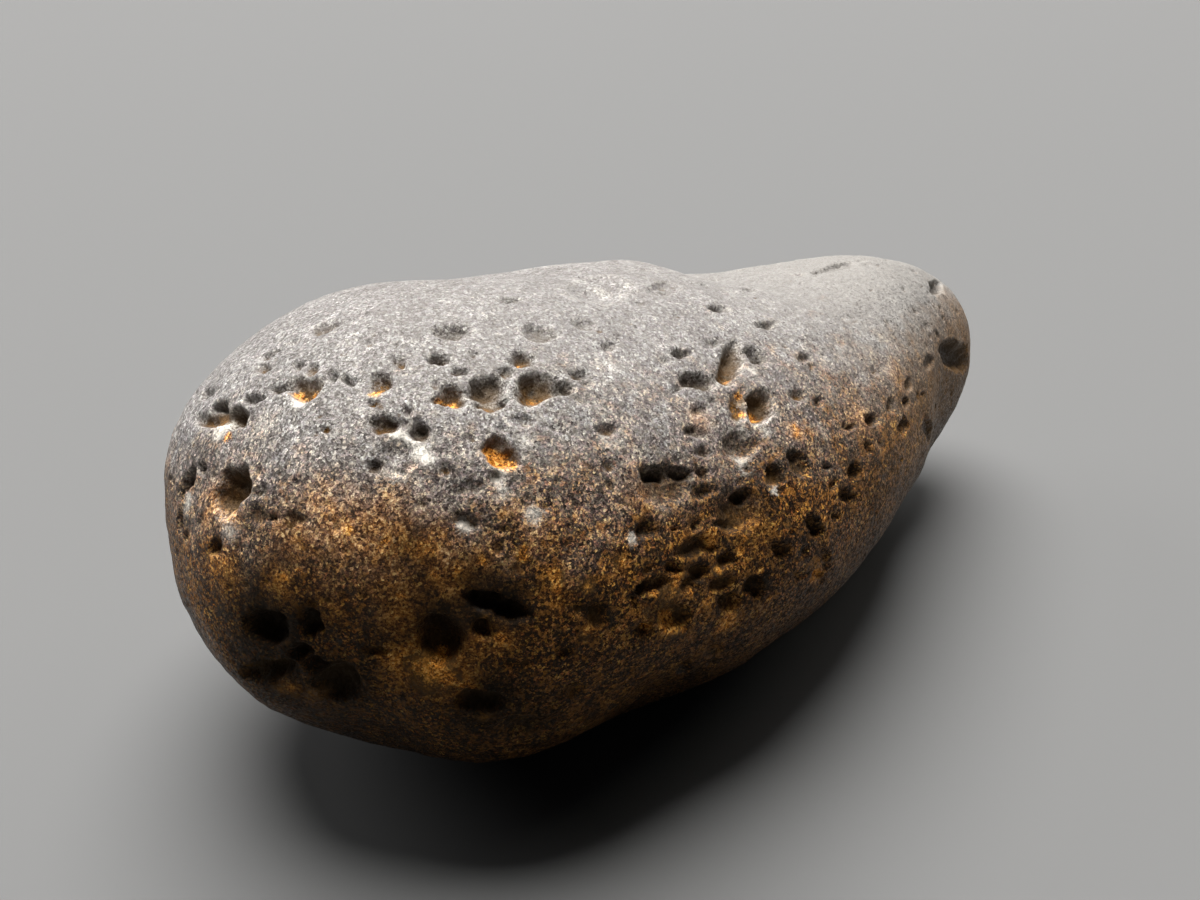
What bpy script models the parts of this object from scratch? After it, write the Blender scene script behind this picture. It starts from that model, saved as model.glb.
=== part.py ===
# A pear-shaped tektite lying on its side: one closed body of black natural glass.
# The fat end points to -X and the tail to +X. It rests on a small worn flat at z = 0.
# Lengths below are millimetres and angles are degrees; the mesh itself is in metres.
import math
import random

import bmesh
import bpy
import numpy as np
from mathutils import Euler, Matrix, Vector, noise

MM = 0.001
BODY_LENGTH = 55.0
TAIL_DROP = 5.0          # how far the long axis leans down towards the tail
REST_CUT = 0.5           # how much is worn off the underside where it rests
SPHERE_LEVELS = 7        # icosphere subdivisions before thinning
TRIANGLES = 9400         # what the thinned body is left with
SEED = 41

# Fullness of the body either side of its long axis, at five places from the fat end to the tail.
STATIONS = (-1.0, -0.5, 0.0, 0.5, 1.0)
NEAR = (19.5, 16.5, 14.0, 11.0, 8.0)     # towards -Y
FAR = (21.0, 17.0, 13.0, 10.0, 8.0)      # towards +Y
UP = (18.5, 13.5, 10.0, 9.5, 10.5)
DOWN = (15.5, 13.5, 11.5, 10.5, 10.0)

# A place on the surface is (along, around): millimetres from the fat end's tip, measured on the
# long axis, and degrees from the top, positive round the near side and negative round the far one.

# Broad swells and hollows: along, around, radius, rise (negative is a hollow).
SWELLS = [
    (37.5, -14.0, 6.5, -1.7),     # saddle between the crown and the tail
    (34.0, -16.0, 2.4, -0.5),
    (41.0, -12.0, 2.4, -0.2),
    (20.0, -27.0, 4.2, -0.8),
    (27.5, -21.0, 3.4, 0.2),
    (17.8, -28.0, 2.6, -0.5),
    (30.3, -19.0, 2.4, 0.35),
    (12.5, 122.0, 3.0, 0.35),
    (7.0, -27.0, 3.6, -0.2),
    (46.0, -8.0, 4.0, -0.2),
    (1.5, -95.0, 3.0, -0.3),
    (3.0, -60.0, 3.0, 0.2),
    (16.5, 120.0, 4.2, -1.1),     # bay under the near flank
    (9.0, 126.0, 4.0, 0.3),
    (30.0, 104.0, 4.0, 0.3),
    (46.0, 87.0, 4.0, -1.0),
    (4.0, 135.0, 4.0, -0.9),
    (1.5, 165.0, 3.0, 0.3),
    (2.0, 98.0, 4.0, -0.7),
    (5.4, 84.0, 3.4, -0.6),
    (18.5, 78.0, 4.0, -0.5),
    (20.6, 66.0, 2.6, -0.4),
    (22.4, 54.0, 2.0, -0.3),
    (5.0, 60.0, 3.0, -0.3),
    (8.3, 74.0, 2.6, -0.3),
    (23.2, 1.5, 2.4, -0.2),
    (23.3, -1.0, 0.8, 0.3),
    (6.2, 35.5, 0.35, 0.2),
    (24.0, 200.0, 6.0, -0.7),
    (40.0, 150.0, 5.0, -0.6),
    (14.0, 235.0, 6.0, -0.8),
    (36.0, 265.0, 5.0, -0.6),
    (10.0, 275.0, 4.0, 0.4),
]

# The listed pits are placed as seen from one viewpoint, in a frame 1200 pixels across and 900 down.
VIEWPOINT = (-54.04, -58.69, 59.47)
VIEW_TURN = -40.95
VIEW_DROP = 31.6
FRAME_ACROSS = 1200
FRAME_DOWN = 900
FOCAL_SHARE = 50.0 / 36.0    # focal length as a share of the frame's width
GRID_ALONG = 0.1
GRID_AROUND = 0.5
CLOSE_PIXELS = 4.0           # how near a surface point shows to count as the one looked at
FRONT_LAYER = 2.0            # thickness of the layer that faces the viewpoint
SMALL_STEP = 0.1
SMALLEST_PIT = (1.1, 0.6)    # length and width under which a pit is too fine for the facets

# Bubble pits: across, down, half length, half width (pixels), slant of the length, depth (mm).
CROWN_PITS = [
    (322, 329, 17, 5, 16, 0.4),
    (292, 343, 6, 3, 20, 0.25),
    (353, 343, 5, 2.5, 20, 0.25),
    (268.5, 358, 8, 4, 35, 0.3),
    (262, 370, 9, 5, 15, 0.3),
    (296, 369, 7, 4, 35, 0.3),
    (310, 371, 7, 5, 10, 0.3),
    (303, 388, 18, 12, 10, 0.65),
    (279, 390, 10, 4, 15, 0.4),
    (330, 378, 8, 7, 0, 0.4),
    (348, 381, 7, 6, 0, 0.4),
    (254, 401, 12, 4.5, 5, 0.4),
    (376, 384, 13, 11, 0, 0.4),
    (400, 362, 9, 7, 0, 0.3),
    (369, 404, 4, 4, 0, 0.3),
    (322, 433, 4, 3, 0, 0.25),
    (454, 334, 18, 8, -3, 0.4),
    (540, 334, 17, 8, -5, 0.4),
    (583, 326, 11, 6, -5, 0.3),
    (607, 347, 9, 5, -5, 0.3),
    (510, 303, 13, 3, 0, 0.3),
    (440, 360, 13, 6, 5, 0.5),
    (462, 373, 10, 5, 0, 0.3),
    (524, 361, 13, 8, 0, 0.5),
    (664, 291, 18, 8, 0, 0.3),
    (717, 311, 11, 4, -5, 0.3),
    (765, 327, 12, 5, 10, 0.3),
    (749, 292, 10, 4, 0, 0.25),
    (713, 346, 7, 4, 0, 0.3),
    (598, 287, 32, 13, 0, 0.35),
]
SHOULDER_PITS = [
    (383, 426, 15, 10, 5, 0.5),
    (408, 413, 6, 4, 0, 0.3),
    (421, 434, 14, 9.5, -10, 0.55),
    (397, 462, 21, 18, 0, 0.2),
    (509, 375, 9, 6, 0, 0.35),
    (436, 384, 6, 6, 0, 0.25),
    (453, 399, 19, 10, -3, 0.6),
    (488, 390, 20, 12, 5, 0.75),
    (492, 405, 16, 7, 5, 0.5),
    (537, 390, 21, 15, 10, 0.8),
    (563, 389, 10, 7, -20, 0.5),
    (580, 401, 12, 4, -25, 0.3),
    (584, 376, 6, 4, 0, 0.25),
    (587, 384, 5, 3.5, 0, 0.25),
    (527, 425, 12, 6, 0, 0.18),
    (502, 455, 19, 14, -45, 0.6),
    (606, 431, 9, 6, 0, 0.25),
    (637, 422, 3, 1.5, -30, 0.2),
    (472, 488, 16, 7, 20, 0.18),
    (463, 524, 13, 8, -5, 0.25),
    (683, 355, 11, 5, -5, 0.45),
    (665, 359, 6, 2, 0, 0.2),
    (731, 364, 21, 12, 78, 0.8),
    (757, 358, 11, 7, -25, 0.55),
    (700, 383, 20, 8, -5, 0.55),
    (680, 391, 7, 5, 45, 0.3),
    (713, 402, 7, 2, 0, 0.15),
    (740, 405, 17, 9, 80, 0.3),
    (762, 408, 17, 12, 90, 0.85),
    (702, 414, 9, 6, 0, 0.25),
    (695, 434, 12, 6, -15, 0.3),
    (704, 455, 8, 6, 0, 0.3),
    (742, 450, 20, 13, 0, 0.35),
    (803, 359, 9, 5, -10, 0.3),
    (813, 371, 6, 3, -30, 0.25),
    (798, 398, 8, 6, -30, 0.25),
    (819, 403, 5, 4, 0, 0.3),
]
FLANK_PITS = [
    (666, 488, 28, 21, 0, 0.4),
    (655, 475, 13, 8, -10, 0.4),
    (683, 474, 10, 7, 0, 0.35),
    (704, 474, 7, 6, -30, 0.3),
    (704, 495, 13, 7, -5, 0.3),
    (738, 512, 20, 22, 0, 0.4),
    (743, 497, 9, 7, 0, 0.4),
    (730, 525, 16, 8, 0, 0.5),
    (694, 549, 20, 10, 15, 0.45),
    (673, 570, 8, 6, 0, 0.5),
    (659, 582, 9, 7, 20, 0.35),
    (646, 588, 11, 7, 70, 0.6),
    (634, 602, 8, 3, 80, 0.25),
    (700, 575, 10, 8, 80, 0.5),
    (726, 563, 8, 6, 0, 0.4),
    (722, 586, 12, 6, 20, 0.4),
    (688, 587, 9, 7, 0, 0.4),
    (676, 618, 16, 13, -15, 0.65),
    (645, 631, 9, 9, 0, 0.45),
    (731, 605, 13, 8, 25, 0.5),
    (755, 590, 10, 9, 30, 0.5),
    (781, 551, 8, 8, 90, 0.45),
    (776, 478, 10, 8, -80, 0.5),
    (646, 532, 12, 9, 80, 0.4),
    (673, 530, 4, 4, 0, 0.3),
    (801, 466, 16, 8, -42, 0.45),
    (830, 470, 4, 4, 0, 0.25),
    (857, 475, 9, 6, 80, 0.4),
    (850, 499, 8, 7, 0, 0.35),
    (835, 488, 5, 5, 0, 0.3),
    (814, 528, 10, 7, -70, 0.6),
    (836, 519, 5, 5, 0, 0.3),
    (825, 560, 9, 5, 90, 0.3),
    (817, 575, 5, 5, 0, 0.3),
    (797, 577, 6, 5, 45, 0.25),
    (869, 450, 6, 3, 90, 0.3),
    (596, 618, 11, 10, 0, 0.35),
    (565, 655, 5, 5, 0, 0.25),
    (497, 607, 38, 11, -15, 0.9),
    (484, 632, 14, 9, -10, 0.7),
    (440, 643, 27, 21, -60, 1.2),
    (377, 653, 12, 6, -5, 0.25),
    (482, 704, 25, 9, 0, 0.7),
    (518, 728, 28, 9, 8, 0.35),
    (573, 693, 8, 7, 0, 0.25),
    (715, 653, 10, 6, 35, 0.25),
    (684, 671, 10, 6, 60, 0.25),
]
FAT_END_PITS = [
    (207, 397, 7, 4, 30, 0.3),
    (219, 409, 8, 5, 10, 0.75),
    (235, 420, 12, 10, 70, 0.75),
    (184, 483, 15, 4.5, 60, 0.6),
    (201, 470, 7, 4, 75, 0.4),
    (230, 495, 27, 15, 68, 0.95),
    (177, 522, 14, 2.5, 85, 0.35),
    (258, 493, 4, 4, 0, 0.3),
    (260, 518, 11, 10, 0, 0.2),
    (297, 519, 14, 9, -5, 0.2),
    (214, 550, 10, 6, 75, 0.4),
    (273, 521, 5, 4, 0, 0.25),
    (269, 629, 19, 16, -40, 1),
    (311, 627, 14, 12, 90, 0.7),
    (303, 653, 10, 9, 90, 0.7),
    (268, 672, 22, 10, -5, 0.9),
    (340, 683, 23, 19, -20, 1.1),
    (317, 667, 9, 8, 90, 0.8),
    (214, 420, 22, 9, 15, 0.5),
]
TAIL_PITS = [
    (870, 421, 7, 6, 90, 0.5),
    (850, 427, 5, 4, 0, 0.25),
    (891, 408, 7, 5, 90, 0.3),
    (903, 428, 8, 7, 90, 0.4),
    (908, 405, 6, 4, 90, 0.3),
    (911, 388, 8, 4, 90, 0.25),
    (931, 433, 12, 6, -80, 0.45),
    (929, 364, 7, 7, 0, 0.25),
    (840, 268, 15, 3, 0, 0.25),
    (956, 358, 17, 8, -65, 0.75),
    (939, 288, 7, 6, -60, 0.45),
]

# The side that the lists above cover faces this way; scattered pits fill the rest.
LISTED_SIDE = Vector((-0.56, -0.64, 0.52))
SCATTERED_PITS = 95
SCATTER_LENGTH = (0.9, 2.9)
SCATTER_WIDTH_SHARE = (0.5, 0.95)
SCATTER_DEPTH_SHARE = (0.35, 0.75)
REST_CLEARANCE = 0.86    # scattered pits keep off faces that look down more squarely than this

WAVE_SIZE = 6.0          # the body's slow unevenness: wavelength and height
WAVE_RISE = 0.22


def clear_scene():
    for thing in list(bpy.data.objects):
        bpy.data.objects.remove(thing)


def fullness(values, x):
    """Smooth curve through the five station values."""
    return np.polyval(np.polyfit(STATIONS, values, len(STATIONS) - 1), x)


def body_points(directions):
    """Points of the plain pear for unit directions, in millimetres, long axis level."""
    x, y, z = directions.T
    side = np.where(y < 0, fullness(NEAR, x), fullness(FAR, x))
    height = np.where(z < 0, fullness(DOWN, x), fullness(UP, x))
    return np.stack([x * BODY_LENGTH / 2, side * y, height * z], axis=1)


def direction_at(along, around):
    x = along / (BODY_LENGTH / 2) - 1
    ring = math.sqrt(max(0.0, 1 - x * x))
    angle = math.radians(around)
    return Vector((x, -math.sin(angle) * ring, math.cos(angle) * ring))


def frame_at(direction):
    """Point, outward normal and lengthwise tangent of the plain pear in one direction."""
    step = 0.002
    sideways = direction.cross(Vector((1, 0, 0))).normalized()
    lengthwise = sideways.cross(direction)
    near = [direction, direction + step * lengthwise, direction + step * sideways]
    here, ahead, beside = body_points(np.array([d.normalized() for d in near]))
    tangent = Vector(ahead - here).normalized()
    normal = Vector(beside - here).cross(tangent).normalized()
    if normal.dot(direction) < 0:
        normal.negate()
    return Vector(here), normal, tangent


def swell_height(points):
    rise = np.zeros(len(points))
    for along, around, radius, height in SWELLS:
        centre, _, _ = frame_at(direction_at(along, around))
        distance = np.linalg.norm(points - np.array(centre), axis=1)
        rise += height * np.exp(-((distance / radius) ** 2))
    return rise


def laying_down(points):
    """The lean towards the tail, and the move that centres the leaned points over the origin."""
    lean = np.array(Matrix.Rotation(math.radians(TAIL_DROP), 3, "Y"))
    leaned = points @ lean.T
    low, high = leaned.min(axis=0), leaned.max(axis=0)
    middle = (low + high) / 2
    return lean, np.array([middle[0], middle[1], low[2] + REST_CUT])


def wave_height(points):
    return np.array([WAVE_RISE * noise.noise(Vector(p) / WAVE_SIZE) for p in points])


def pit_drop(points, frame, length, width, depth, turn):
    """How far one pit sinks each point: a bowl with steep walls and a rounded floor."""
    centre, normal, tangent = frame
    long_axis = Matrix.Rotation(math.radians(turn), 3, normal) @ tangent
    short_axis = normal.cross(long_axis)
    offset = points - np.array(centre)
    u = offset @ np.array(long_axis) / (length / 2)
    v = offset @ np.array(short_axis) / (width / 2)
    reach = np.abs(offset @ np.array(normal)) < max(length, width)
    radius = np.minimum(np.hypot(u, v), 1.0)
    return np.where(reach, depth * (1 - radius ** 2.6), 0.0)


def scattered_pits():
    """Pits on the sides that the lists leave bare, each as a frame and four sizes."""
    rng = random.Random(SEED)
    pits = []
    while len(pits) < SCATTERED_PITS:
        direction = Vector([rng.gauss(0, 1) for _ in range(3)]).normalized()
        length = rng.uniform(*SCATTER_LENGTH) * rng.uniform(0.6, 1.0)
        width = length * rng.uniform(*SCATTER_WIDTH_SHARE)
        depth = width * rng.uniform(*SCATTER_DEPTH_SHARE)
        turn = rng.uniform(0, 180)
        frame = frame_at(direction)
        if frame[1].dot(LISTED_SIDE) < 0.05 and -frame[1].z < REST_CLEARANCE:
            pits.append((frame, max(length, 0.9), max(width, 0.8), depth, turn))
    return pits


def in_frame(laid):
    """Pixels across and down for laid-down points, and their distance from the viewpoint."""
    turned = Euler((math.radians(90 - VIEW_DROP), 0, math.radians(VIEW_TURN)))
    from_view = (laid - np.array(VIEWPOINT)) @ np.array(turned.to_matrix())
    distance = -from_view[:, 2]
    across = FRAME_ACROSS / 2 + FOCAL_SHARE * FRAME_ACROSS * from_view[:, 0] / distance
    down = FRAME_DOWN / 2 - FOCAL_SHARE * FRAME_ACROSS * from_view[:, 1] / distance
    return np.stack([across, down], axis=1), distance


def listed_pits():
    """The listed pits, found on the swelled pear from where they show in the frame."""
    x = np.arange(GRID_ALONG, BODY_LENGTH, GRID_ALONG) / (BODY_LENGTH / 2) - 1
    angle = np.radians(np.arange(-180, 180, GRID_AROUND))
    x, angle = [values.ravel() for values in np.meshgrid(x, angle)]
    ring = np.sqrt(1 - x * x)
    directions = np.stack([x, -np.sin(angle) * ring, np.cos(angle) * ring], axis=1)
    plain = body_points(directions)
    outward = plain / np.linalg.norm(plain, axis=1, keepdims=True)
    points = plain + outward * swell_height(plain)[:, None]
    lean, move = laying_down(points)
    pixels, distance = in_frame(points @ lean.T - move)
    pits = []
    listed = CROWN_PITS + SHOULDER_PITS + FLANK_PITS + FAT_END_PITS + TAIL_PITS
    for across, down, half_length, half_width, slant, depth in listed:
        off = np.hypot(pixels[:, 0] - across, pixels[:, 1] - down)
        close = off < max(CLOSE_PIXELS, off.min() + 1)
        front = distance < distance[close].min() + FRONT_LAYER
        frame = frame_at(Vector(directions[np.argmin(np.where(front, off, np.inf))]))
        centre, normal, tangent = frame
        spots = [centre, centre + SMALL_STEP * tangent, centre + SMALL_STEP * normal.cross(tangent)]
        here, ahead, beside = in_frame(np.array(spots) @ lean.T - move)[0]
        stretch = np.stack([ahead - here, beside - here], axis=1) / SMALL_STEP
        cos, sin = math.cos(math.radians(slant)), math.sin(math.radians(slant))
        outline = np.array([[cos, -sin], [-sin, -cos]]) @ np.diag([half_length, half_width])
        axes, halves, _ = np.linalg.svd(np.linalg.inv(stretch) @ outline)
        turn = math.degrees(math.atan2(axes[1, 0], axes[0, 0]))
        length, width = 2 * halves
        if length >= SMALLEST_PIT[0] and width >= SMALLEST_PIT[1]:
            pits.append((frame, length, width, depth, turn))
    print("listed pits:", len(pits))
    return pits


def all_pits():
    return listed_pits() + scattered_pits()


def pitted_points(directions):
    """The pear with its swells, its slow unevenness and its pits, in millimetres."""
    plain = body_points(directions)
    outward = plain / np.linalg.norm(plain, axis=1, keepdims=True)
    shaped = plain + outward * (swell_height(plain) + wave_height(plain))[:, None]
    deepest = np.zeros(len(plain))
    sink = np.zeros_like(plain)
    for frame, *sizes in all_pits():
        drop = pit_drop(plain, frame, *sizes)
        wins = drop > deepest
        deepest[wins] = drop[wins]
        sink[wins] = -drop[wins, None] * np.array(frame[1])
    return shaped + sink


def laid_down(points):
    """Leaned towards the tail, then centred over the origin with the wear line at z = 0."""
    lean, move = laying_down(points)
    return points @ lean.T - move


def glass_material():
    material = bpy.data.materials.new("tektite_glass")
    material.use_nodes = True
    shader = material.node_tree.nodes["Principled BSDF"]
    shader.inputs["Base Color"].default_value = (0.030, 0.023, 0.017, 1.0)
    shader.inputs["Roughness"].default_value = 0.62
    shader.inputs["Metallic"].default_value = 0.0
    return material


def tektite_mesh():
    bm = bmesh.new()
    bmesh.ops.create_icosphere(bm, subdivisions=SPHERE_LEVELS, radius=1.0)
    directions = np.array([v.co.normalized() for v in bm.verts])
    for vert, place in zip(bm.verts, laid_down(pitted_points(directions))):
        vert.co = Vector(place) * MM
    bmesh.ops.recalc_face_normals(bm, faces=bm.faces)
    mesh = bpy.data.meshes.new("tektite")
    bm.to_mesh(mesh)
    bm.free()
    return mesh


def ground_cutter():
    """A block under z = 0 that takes off the worn flat."""
    bm = bmesh.new()
    bmesh.ops.create_cube(bm, size=1.0)
    bmesh.ops.scale(bm, vec=Vector((90, 60, 20)) * MM, verts=bm.verts)
    bmesh.ops.translate(bm, vec=Vector((0, 0, -10)) * MM, verts=bm.verts)
    mesh = bpy.data.meshes.new("ground_cutter")
    bm.to_mesh(mesh)
    bm.free()
    cutter = bpy.data.objects.new("ground_cutter", mesh)
    cutter.hide_render = True
    cutter.display_type = "WIRE"
    bpy.context.scene.collection.objects.link(cutter)
    return cutter


def build_tektite():
    mesh = tektite_mesh()
    mesh.materials.append(glass_material())
    mesh.shade_smooth()
    tektite = bpy.data.objects.new("tektite", mesh)
    bpy.context.scene.collection.objects.link(tektite)

    thin = tektite.modifiers.new("thin", "DECIMATE")
    thin.ratio = TRIANGLES / len(mesh.polygons)

    wear = tektite.modifiers.new("worn_flat", "BOOLEAN")
    wear.operation = "DIFFERENCE"
    wear.solver = "EXACT"
    wear.object = ground_cutter()
    return tektite


clear_scene()
build_tektite()
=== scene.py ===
import math
import random

import bmesh
import bpy
import numpy as np
from mathutils import Euler, Matrix, Vector, noise
from mathutils.kdtree import KDTree


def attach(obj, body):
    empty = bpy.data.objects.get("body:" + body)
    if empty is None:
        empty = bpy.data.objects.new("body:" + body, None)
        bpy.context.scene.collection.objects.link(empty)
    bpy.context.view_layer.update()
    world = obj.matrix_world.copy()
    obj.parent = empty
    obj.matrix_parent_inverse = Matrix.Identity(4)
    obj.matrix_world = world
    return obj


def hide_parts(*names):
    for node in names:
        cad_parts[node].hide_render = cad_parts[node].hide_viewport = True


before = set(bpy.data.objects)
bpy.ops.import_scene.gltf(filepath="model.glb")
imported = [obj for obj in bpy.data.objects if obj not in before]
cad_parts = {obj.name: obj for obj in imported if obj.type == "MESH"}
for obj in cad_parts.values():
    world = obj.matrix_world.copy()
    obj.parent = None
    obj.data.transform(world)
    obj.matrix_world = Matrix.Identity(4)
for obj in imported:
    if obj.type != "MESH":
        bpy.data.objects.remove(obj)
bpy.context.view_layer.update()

mm = 0.001

# the stone: lengths in millimetres, angles in degrees
stone = {
    "bodyLength": 55.0,
    "tailDrop": 5.0,         # lean of the long axis down towards the tail
    "restCut": 0.5,          # worn off the underside
    "stations": (-1.0, -0.5, 0.0, 0.5, 1.0),   # along the long axis, from the fat end to the tail
    "near": (19.5, 16.5, 14.0, 11.0, 8.0),     # half widths and heights, before the ends round off
    "far": (21.0, 17.0, 13.0, 10.0, 8.0),
    "up": (18.5, 13.5, 10.0, 9.5, 10.5),
    "down": (15.5, 13.5, 11.5, 10.5, 10.0),
    "tangentStep": 0.002,    # how far aside a slope is measured, as a share of the body's radius
    "sphereLevels": 8,
    "clayAndLitSide": np.array([-0.25, -0.45, -0.85]),   # where the clay has settled, also the side of a pit's floor that the light falls on
    "frostAndPaintedLight": (0.24, 0.10, 0.45, 0.965),   # shares of the ends, near side, far side and top in the pale frosting, which also paints the sheen of the light glancing off them
    "triangles": 196000,
    "waveSize": 6.0,         # slow unevenness
    "waveRise": 0.22,
    "rippleSize": 1.5,       # small unevenness
    "rippleRise": 0.07,
    "rippleShift": 40,       # keeps it from repeating the slow one
    "pimpleSize": 0.55,      # frosted grain that is still shape
    "pimpleRise": 0.035,
    "pimpleShift": 80,
}

# Broad swells and hollows: along, around, radius, rise. Along is the distance from the fat end's tip on
# the long axis, and around the degrees from the top, positive round the near side (-Y).
swells = [
    (37.5, -14.0, 6.5, -1.7),     # saddle between the crown and the tail
    (34.0, -16.0, 2.4, -0.5),
    (41.0, -12.0, 2.4, -0.2),
    (20.0, -27.0, 4.2, -0.8),
    (27.5, -21.0, 3.4, 0.2),
    (17.8, -28.0, 2.6, -0.5),
    (30.3, -19.0, 2.4, 0.35),
    (12.5, 122.0, 3.0, 0.35),
    (7.0, -27.0, 3.6, -0.2),
    (46.0, -8.0, 4.0, -0.2),
    (1.5, -95.0, 3.0, -0.3),
    (3.0, -60.0, 3.0, 0.2),
    (16.5, 120.0, 4.2, -1.1),     # bay under the near flank
    (9.0, 126.0, 4.0, 0.3),
    (30.0, 104.0, 4.0, 0.3),
    (46.0, 87.0, 4.0, -1.0),
    (4.0, 135.0, 4.0, -0.9),
    (1.5, 165.0, 3.0, 0.3),
    (2.0, 98.0, 4.0, -0.7),
    (5.4, 84.0, 3.4, -0.6),
    (18.5, 78.0, 4.0, -0.5),
    (20.6, 66.0, 2.6, -0.4),
    (22.4, 54.0, 2.0, -0.3),
    (5.0, 60.0, 3.0, -0.3),
    (8.3, 74.0, 2.6, -0.3),
    (23.2, 1.5, 2.4, -0.2),
    (23.3, -1.0, 0.8, 0.3),
    (6.2, 35.5, 0.35, 0.2),
    (24.0, 200.0, 6.0, -0.7),
    (40.0, 150.0, 5.0, -0.6),
    (14.0, 235.0, 6.0, -0.8),
    (36.0, 265.0, 5.0, -0.6),
    (10.0, 275.0, 4.0, 0.4),
]

# Pits and spots are placed where the camera sees them, in a frame 1200 pixels across and 900 down.
# across, down, half length, half width (pixels), slant (degrees, anticlockwise from level), depth, clay
crownPits = [
    (322, 329, 17, 5, 16, 0.4, 0.4),
    (292, 343, 6, 3, 20, 0.25, 0.3),
    (353, 343, 5, 2.5, 20, 0.25, 0.3),
    (268.5, 358, 8, 4, 35, 0.3, 0.3),
    (262, 370, 9, 5, 15, 0.3, 0.5),
    (296, 369, 7, 4, 35, 0.3, 0.3),
    (310, 371, 7, 5, 10, 0.3, 0.4),
    (303, 388, 18, 12, 10, 0.65, 1),
    (279, 390, 10, 4, 15, 0.4, 0.4),
    (330, 378, 8, 7, 0, 0.4, 0.1),
    (348, 381, 7, 6, 0, 0.4, 0.1),
    (254, 401, 12, 4.5, 5, 0.4, 0.1),
    (376, 384, 13, 11, 0, 0.4, 1),
    (400, 362, 9, 7, 0, 0.3, 0.6),
    (369, 404, 4, 4, 0, 0.3, 1),
    (322, 433, 4, 3, 0, 0.25, 0.9),
    (454, 334, 18, 8, -3, 0.4, 0.15),
    (540, 334, 17, 8, -5, 0.4, 0.15),
    (583, 326, 11, 6, -5, 0.3, 0.1),
    (607, 347, 9, 5, -5, 0.3, 0.2),
    (510, 303, 13, 3, 0, 0.3, 0.1),
    (440, 360, 13, 6, 5, 0.5, 0.5),
    (462, 373, 10, 5, 0, 0.3, 0.4),
    (524, 361, 13, 8, 0, 0.5, 0.8),
    (664, 291, 18, 8, 0, 0.3, 0.1),
    (717, 311, 11, 4, -5, 0.3, 0.1),
    (765, 327, 12, 5, 10, 0.3, 0.1),
    (749, 292, 10, 4, 0, 0.25, 0),
    (713, 346, 7, 4, 0, 0.3, 0.1),
    (598, 287, 32, 13, 0, 0.35, 0),
]
shoulderPits = [
    (383, 426, 15, 10, 5, 0.5, 0.7),
    (408, 413, 6, 4, 0, 0.3, 0.2),
    (421, 434, 14, 9.5, -10, 0.55, 0.3),
    (397, 462, 21, 18, 0, 0.2, 0),
    (509, 375, 9, 6, 0, 0.35, 0.4),
    (436, 384, 6, 6, 0, 0.25, 0.3),
    (453, 399, 19, 10, -3, 0.6, 1),
    (488, 390, 20, 12, 5, 0.75, 0.4),
    (492, 405, 16, 7, 5, 0.5, 0.8),
    (537, 390, 21, 15, 10, 0.8, 0.9),
    (563, 389, 10, 7, -20, 0.5, 0.2),
    (580, 401, 12, 4, -25, 0.3, 0.1),
    (584, 376, 6, 4, 0, 0.25, 0.1),
    (587, 384, 5, 3.5, 0, 0.25, 0.1),
    (527, 425, 12, 6, 0, 0.18, 0.2),
    (502, 455, 19, 14, -45, 0.6, 1),
    (606, 431, 9, 6, 0, 0.25, 0.5),
    (637, 422, 3, 1.5, -30, 0.2, 0.1),
    (472, 488, 16, 7, 20, 0.18, 0.2),
    (463, 524, 13, 8, -5, 0.25, 0.6),
    (683, 355, 11, 5, -5, 0.45, 0.1),
    (665, 359, 6, 2, 0, 0.2, 0.1),
    (731, 364, 21, 12, 78, 0.8, 0.7),
    (757, 358, 11, 7, -25, 0.55, 0.1),
    (700, 383, 20, 8, -5, 0.55, 0.2),
    (680, 391, 7, 5, 45, 0.3, 0.1),
    (713, 402, 7, 2, 0, 0.15, 0.1),
    (740, 405, 17, 9, 80, 0.3, 0.9),
    (762, 408, 17, 12, 90, 0.85, 0.8),
    (702, 414, 9, 6, 0, 0.25, 0.3),
    (695, 434, 12, 6, -15, 0.3, 0.2),
    (704, 455, 8, 6, 0, 0.3, 0.1),
    (742, 450, 20, 13, 0, 0.35, 0.3),
    (803, 359, 9, 5, -10, 0.3, 0.1),
    (813, 371, 6, 3, -30, 0.25, 0.1),
    (798, 398, 8, 6, -30, 0.25, 0.7),
    (819, 403, 5, 4, 0, 0.3, 0.2),
]
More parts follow.
